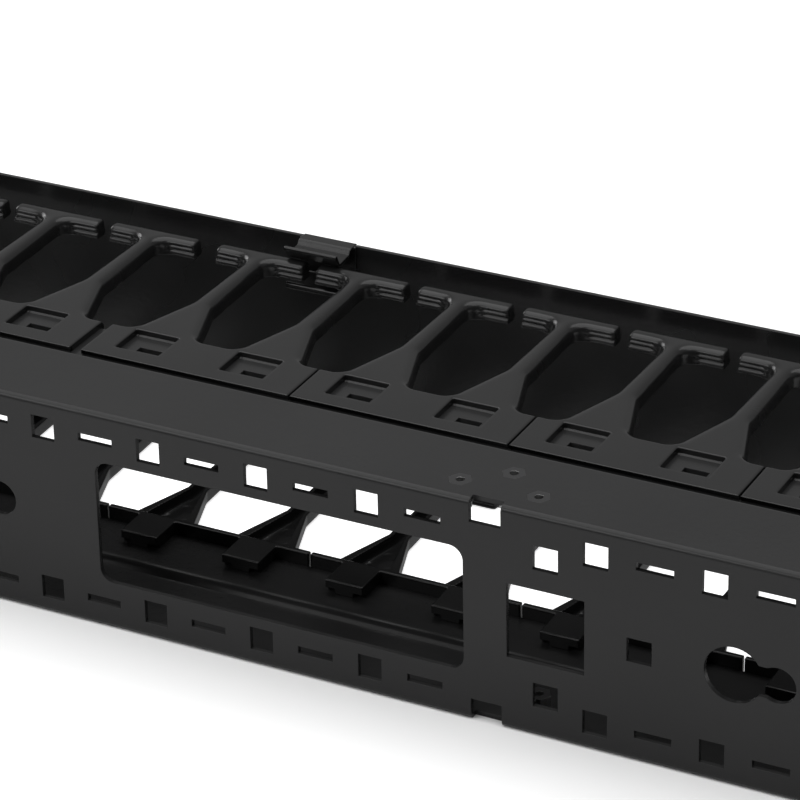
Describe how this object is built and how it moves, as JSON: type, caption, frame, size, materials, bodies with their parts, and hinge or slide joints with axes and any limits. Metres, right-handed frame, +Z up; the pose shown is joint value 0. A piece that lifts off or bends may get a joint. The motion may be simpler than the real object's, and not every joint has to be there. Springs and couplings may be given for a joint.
{
  "type": "vertical cable manager",
  "caption": "Vertical cable manager for a rack: a perforated steel channel with rows of T-ended plastic fingers on both sides and a hinged flat cover.",
  "frame": {"origin": "middle of the length and depth, on the surface that the manager lies on", "axes": "+X along the channel, +Y from the web to the cover, +Z up from the lower finger row to the upper one"},
  "size_m": [0.7334, 0.16, 0.0962],
  "materials": {
    "channel_steel": "fine matt black powder coat",
    "cover_steel": "fine matt black powder coat",
    "finger_plastic": "matt black moulded plastic",
    "clip_plastic": "satin black moulded plastic",
    "standoff_steel": "black coated, with a bare bore",
    "rivet_plastic": "black push rivets"
  },
  "bodies": {
    "channel": {"back_channel": "channel_steel", "lower_standoffs": "standoff_steel", "upper_standoffs": "standoff_steel", "bottom_fingers_1": "finger_plastic", "bottom_fingers_2": "finger_plastic", "bottom_fingers_3": "finger_plastic", "bottom_fingers_4": "finger_plastic", "bottom_fingers_5": "finger_plastic", "bottom_fingers_6": "finger_plastic", "bottom_fingers_7": "finger_plastic", "bottom_fingers_8": "finger_plastic", "top_fingers_1": "finger_plastic", "top_fingers_2": "finger_plastic", "top_fingers_3": "finger_plastic", "top_fingers_4": "finger_plastic", "top_fingers_5": "finger_plastic", "top_fingers_6": "finger_plastic", "top_fingers_7": "finger_plastic", "top_fingers_8": "finger_plastic"},
    "cover": {"cover_panel": "cover_steel", "clip_rivets": "rivet_plastic", "hinge_clip_1": "clip_plastic", "hinge_clip_2": "clip_plastic", "hinge_clip_3": "clip_plastic", "latch_clip_1": "clip_plastic", "latch_clip_2": "clip_plastic", "latch_clip_3": "clip_plastic"}
  },
  "joints": [
    {"name": "cover_hinge", "type": "hinge", "parent": "channel", "child": "cover", "pos_m": [0, 0.0635, 0.0865], "axis": [1, 0, 0], "range_deg": [0, 110]}
  ]
}
